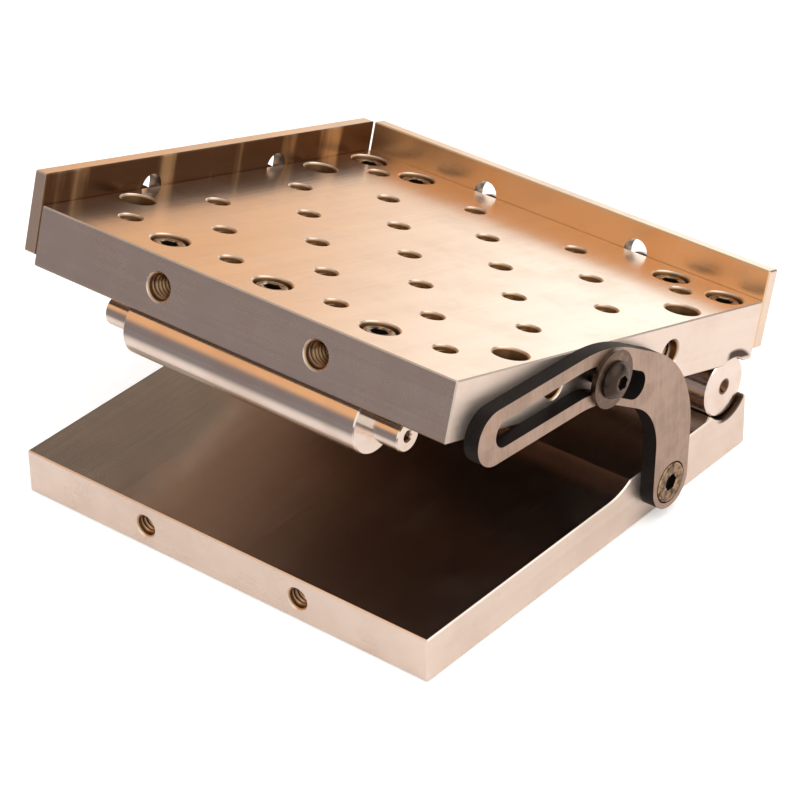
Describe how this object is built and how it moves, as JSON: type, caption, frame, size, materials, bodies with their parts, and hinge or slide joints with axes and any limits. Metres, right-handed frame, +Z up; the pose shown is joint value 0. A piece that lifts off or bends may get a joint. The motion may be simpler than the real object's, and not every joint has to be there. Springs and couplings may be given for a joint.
{
  "type": "sine plate",
  "caption": "Steel sine plate: a drilled top plate hinged to a base, with a sine roll, a slotted lock arm and adjustable side and end rails.",
  "frame": {"origin": "middle of the base plate underside", "axes": "+Z up, +X from the sine roll end to the hinge end, -Y towards the side with the lock arm"},
  "size_m": [0.1697, 0.1738, 0.0986],
  "materials": {
    "ground_steel": "surface ground",
    "lapped_steel": "fine ground",
    "black_screw": "black oxide",
    "washer_steel": "satin",
    "blackened_steel": "black oxide with a ground face"
  },
  "bodies": {
    "base": {"base_plate": "ground_steel", "hinge_roll_centre": "lapped_steel", "hinge_pin": "lapped_steel", "hinge_foot_screws": "black_screw", "arm_pivot_screw": "black_screw"},
    "top": {"top_plate": "ground_steel", "sine_roll": "lapped_steel", "sine_roll_screws": "black_screw", "hinge_roll_near": "lapped_steel", "hinge_roll_far": "lapped_steel", "hinge_roll_screws": "black_screw", "side_rail_screws": "black_screw", "side_rail_washers": "washer_steel", "end_rail_screws": "black_screw", "end_rail_washers": "washer_steel", "lock_washer": "washer_steel"},
    "side_rail": {"side_rail": "ground_steel"},
    "end_rail": {"end_rail": "ground_steel"},
    "arm": {"lock_arm": "blackened_steel"},
    "lock": {"lock_screw": "black_screw"}
  },
  "joints": [
    {"name": "plate_tilt", "type": "hinge", "parent": "base", "child": "top", "pos_m": [0.06548, 0, 0.02353], "axis": [0, 1, 0], "range_deg": [-17.15, 27.7]},
    {"name": "arm_swing", "type": "hinge", "parent": "base", "child": "arm", "pos_m": [0.0304, -0.075, 0.0111], "axis": [0, 1, 0], "range_deg": [-25.57, 41.29]},
    {"name": "side_rail_slide", "type": "slide", "parent": "top", "child": "side_rail", "axis": [0.2974, 0, 0.9548], "range_m": [-0.0088, 0]},
    {"name": "end_rail_slide", "type": "slide", "parent": "top", "child": "end_rail", "axis": [0.2974, 0, 0.9548], "range_m": [-0.0088, 0]},
    {"name": "lock_screw_turn", "type": "hinge", "parent": "top", "child": "lock", "pos_m": [-0.00043, -0.075, 0.06236], "axis": [0, -1, 0], "range_deg": [0, 180]}
  ],
  "couplings": [
    {"joint": "arm_swing", "follows": "plate_tilt", "ratio": 1.49}
  ]
}
